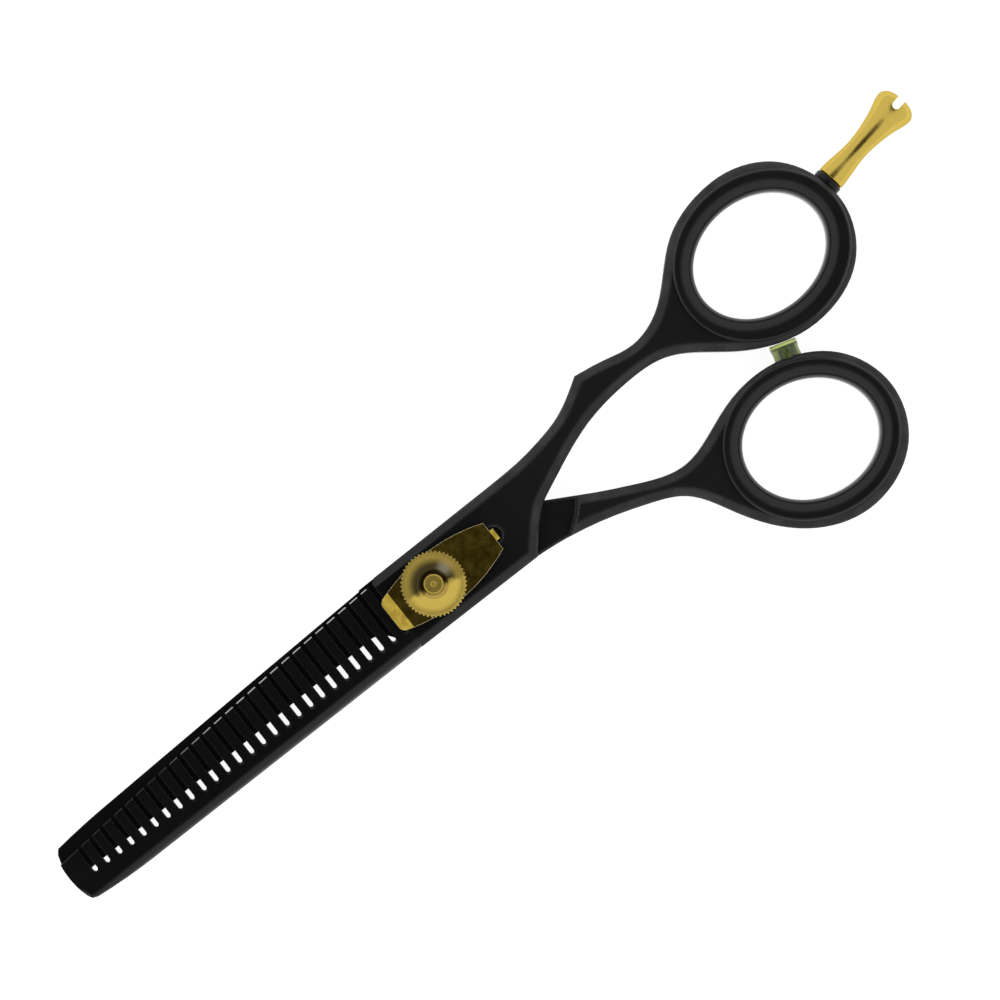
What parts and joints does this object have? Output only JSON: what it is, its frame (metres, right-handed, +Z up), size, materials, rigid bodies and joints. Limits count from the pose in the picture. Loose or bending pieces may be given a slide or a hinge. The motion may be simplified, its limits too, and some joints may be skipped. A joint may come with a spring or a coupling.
{
  "type": "hair thinning shears",
  "caption": "Closed thinning shears lying flat: toothed and plain blades on a tension screw, offset rings with inserts, a bumper and a screw-in finger rest.",
  "frame": {"origin": "middle of the closed shears' plan, on the surface they lie on", "axes": "+X from the blade tips to the handles, +Y towards the finger ring, +Z up out of the face with the tension nut"},
  "size_m": [0.1686, 0.0524, 0.0094],
  "materials": {
    "black_steel": "satin black coating, lighter along the ground bevels",
    "gold_steel": "gold coating over turned steel",
    "gold_spring": "polished gold-coloured spring steel",
    "nylon": "plain nylon",
    "black_plastic": "matt black",
    "bumper": "translucent yellow-green",
    "insert_rubber": "smooth black"
  },
  "bodies": {
    "toothed_side": {"toothed_half": "black_steel", "finger_ring_insert": "insert_rubber", "tension_spring": "gold_spring"},
    "plain_side": {"plain_half": "black_steel", "thumb_ring_insert": "insert_rubber", "bumper": "bumper", "pivot_screw": "gold_steel", "pivot_washer": "nylon"},
    "nut": {"tension_nut": "gold_steel"},
    "rest_washer": {"finger_rest_washer": "black_plastic"},
    "rest": {"finger_rest": "gold_steel"}
  },
  "joints": [
    {"name": "blade_pivot", "type": "hinge", "parent": "toothed_side", "child": "plain_side", "pos_m": [-0.01485, 0.00525, 0.0034], "axis": [0, 0, -1], "range_deg": [0, 140]},
    {"name": "nut_turn", "type": "hinge", "parent": "plain_side", "child": "nut", "pos_m": [-0.01485, 0.00525, 0.0034], "axis": [0, 0, 1], "range_deg": [-30, 360]},
    {"name": "finger_rest_travel", "type": "slide", "parent": "toothed_side", "child": "rest_washer", "axis": [0.986, 0.1668, 0], "range_m": [0, 0.00225]},
    {"name": "finger_rest_turn", "type": "hinge", "parent": "rest_washer", "child": "rest", "pos_m": [0.06845, 0.01563, 0.0034], "axis": [0.986, 0.1668, 0], "range_deg": [0, 1810]}
  ],
  "couplings": [
    {"joint": "finger_rest_turn", "follows": "finger_rest_travel", "rad_per_m": 13963}
  ]
}
